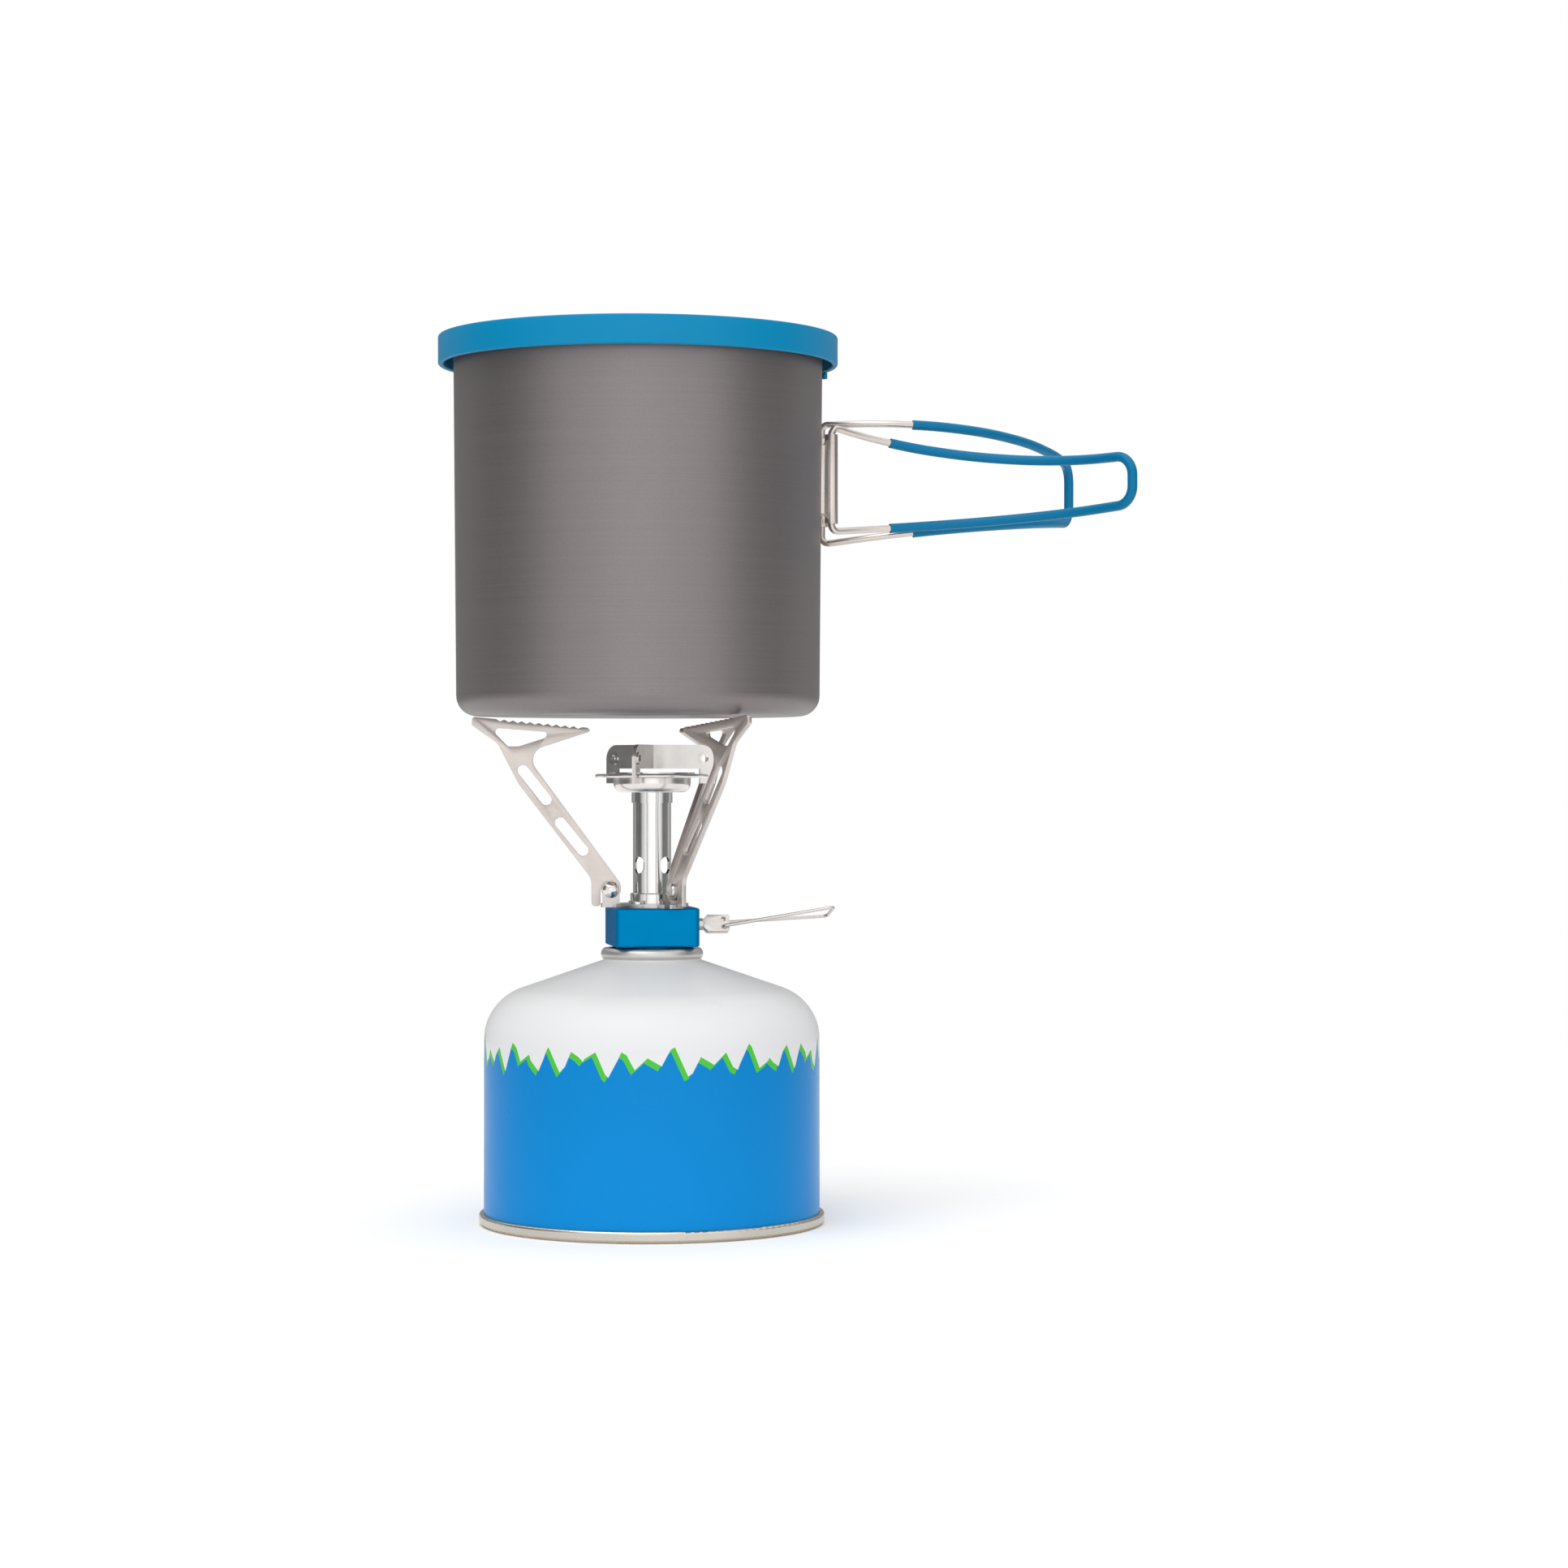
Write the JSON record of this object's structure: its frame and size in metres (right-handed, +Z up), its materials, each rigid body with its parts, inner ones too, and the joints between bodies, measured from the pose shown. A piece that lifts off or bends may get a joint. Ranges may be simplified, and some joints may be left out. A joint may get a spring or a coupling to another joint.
{
  "type": "canister stove with pot",
  "caption": "Upright screw-on gas stove with folding serrated pot supports on a fuel canister, carrying a lidded cooking pot with folding wire handles.",
  "frame": {"origin": "centre of the canister's base rim, on the ground", "axes": "+Z up along the canister; +X along the valve spindle, towards the control wire and the pot's handles"},
  "size_m": [0.2148, 0.1258, 0.279],
  "materials": {
    "canister_paint": "gloss printed label, white above and blue below",
    "rim_steel": "pale gold lacquered steel",
    "cup_steel": "satin",
    "blue_anodised": "satin anodised blue",
    "bracket_steel": "satin",
    "fastener_steel": "bright",
    "arm_metal": "warm satin",
    "tube_chrome": "polished",
    "burner_steel": "bright",
    "yoke_steel": "satin",
    "wire_steel": "bright drawn wire",
    "jet_brass": "machined",
    "seal_rubber": "matt black",
    "valve_plastic": "natural white",
    "pot_aluminium": "hard anodised, fine circular brushing",
    "handle_steel": "bright",
    "sleeve_blue": "smooth silicone",
    "lid_blue": "smooth moulded"
  },
  "bodies": {
    "canister": {"canister_shell": "canister_paint", "canister_base": "rim_steel", "valve_cup": "cup_steel", "cup_gasket": "seal_rubber", "stem_gasket": "seal_rubber", "valve_housing": "valve_plastic", "valve_spring": "wire_steel"},
    "stem": {"valve_stem": "jet_brass"},
    "stove": {"valve_block": "blue_anodised", "inlet_seal": "seal_rubber", "inlet_filter": "jet_brass", "actuator_pin": "jet_brass", "gland_nut": "jet_brass", "jet": "jet_brass", "support_bracket": "bracket_steel", "bracket_screws": "fastener_steel", "arm_rivets": "fastener_steel", "tube_washer": "tube_chrome", "tube_collar": "tube_chrome", "burner_tube": "tube_chrome", "head_collar": "tube_chrome", "burner_cup": "burner_steel", "port_plate": "burner_steel", "vane_a": "burner_steel", "vane_b": "burner_steel", "vane_c": "burner_steel", "vane_eyelets": "fastener_steel"},
    "control": {"valve_spindle": "yoke_steel", "spindle_seal": "seal_rubber", "control_yoke": "yoke_steel"},
    "control_loop": {"control_wire": "wire_steel"},
    "left_arm": {"arm_left": "arm_metal"},
    "front_arm": {"arm_front": "arm_metal"},
    "rear_arm": {"arm_rear": "arm_metal"},
    "pot": {"pot_body": "pot_aluminium", "handle_bracket": "handle_steel", "bracket_rivets": "handle_steel"},
    "front_handle": {"front_handle_wire": "handle_steel", "front_handle_sleeve": "sleeve_blue"},
    "rear_handle": {"rear_handle_wire": "handle_steel", "rear_handle_sleeve": "sleeve_blue"},
    "lid": {"lid": "lid_blue"}
  },
  "joints": [
    {"name": "stem_press", "type": "slide", "parent": "canister", "child": "stem", "axis": [0, 0, -1], "range_m": [0, 0.0008], "stiffness_N_per_m": 1500, "deforming": ["valve_spring"]},
    {"name": "stove_screw", "type": "hinge", "parent": "canister", "child": "stove", "pos_m": [0, 0, 0.085], "axis": [0, 0, 1], "range_deg": [0, 1080]},
    {"name": "control_turn", "type": "hinge", "parent": "stove", "child": "control", "pos_m": [0.0133, 0, 0.094], "axis": [1, 0, 0], "range_deg": [0, 720]},
    {"name": "wire_fold", "type": "hinge", "parent": "control", "child": "control_loop", "pos_m": [0.0226, -0.00034, 0.09283], "axis": [0, 0.9613, -0.2756], "range_deg": [-88, 41]},
    {"name": "pot_lift", "type": "slide", "parent": "stove", "child": "pot", "axis": [0, 0, 1], "range_m": [0, 0.05]},
    {"name": "left_arm_fold", "type": "hinge", "parent": "stove", "child": "left_arm", "pos_m": [-0.01285, 0.00158, 0.10505], "axis": [0.1219, 0.9925, 0], "range_deg": [0, 20]},
    {"name": "front_arm_fold", "type": "hinge", "parent": "stove", "child": "front_arm", "pos_m": [0.00506, -0.01192, 0.10505], "axis": [-0.9205, -0.3907, 0], "range_deg": [0, 20]},
    {"name": "rear_arm_fold", "type": "hinge", "parent": "stove", "child": "rear_arm", "pos_m": [0.00779, 0.01034, 0.10505], "axis": [0.7986, -0.6018, 0], "range_deg": [0, 20]},
    {"name": "front_handle_fold", "type": "hinge", "parent": "pot", "child": "front_handle", "pos_m": [0.0561, -0.008, 0.2347], "axis": [0, 0, 1], "range_deg": [-115, 0]},
    {"name": "rear_handle_fold", "type": "hinge", "parent": "pot", "child": "rear_handle", "pos_m": [0.0561, 0.008, 0.2347], "axis": [0, 0, 1], "range_deg": [0, 115]},
    {"name": "lid_lift", "type": "slide", "parent": "pot", "child": "lid", "axis": [0, 0, 1], "range_m": [0, 0.03]}
  ],
  "couplings": [
    {"joint": "left_arm_fold", "follows": "pot_lift", "rad_per_m": 6.98},
    {"joint": "front_arm_fold", "follows": "pot_lift", "rad_per_m": 6.98},
    {"joint": "rear_arm_fold", "follows": "pot_lift", "rad_per_m": 6.98}
  ]
}
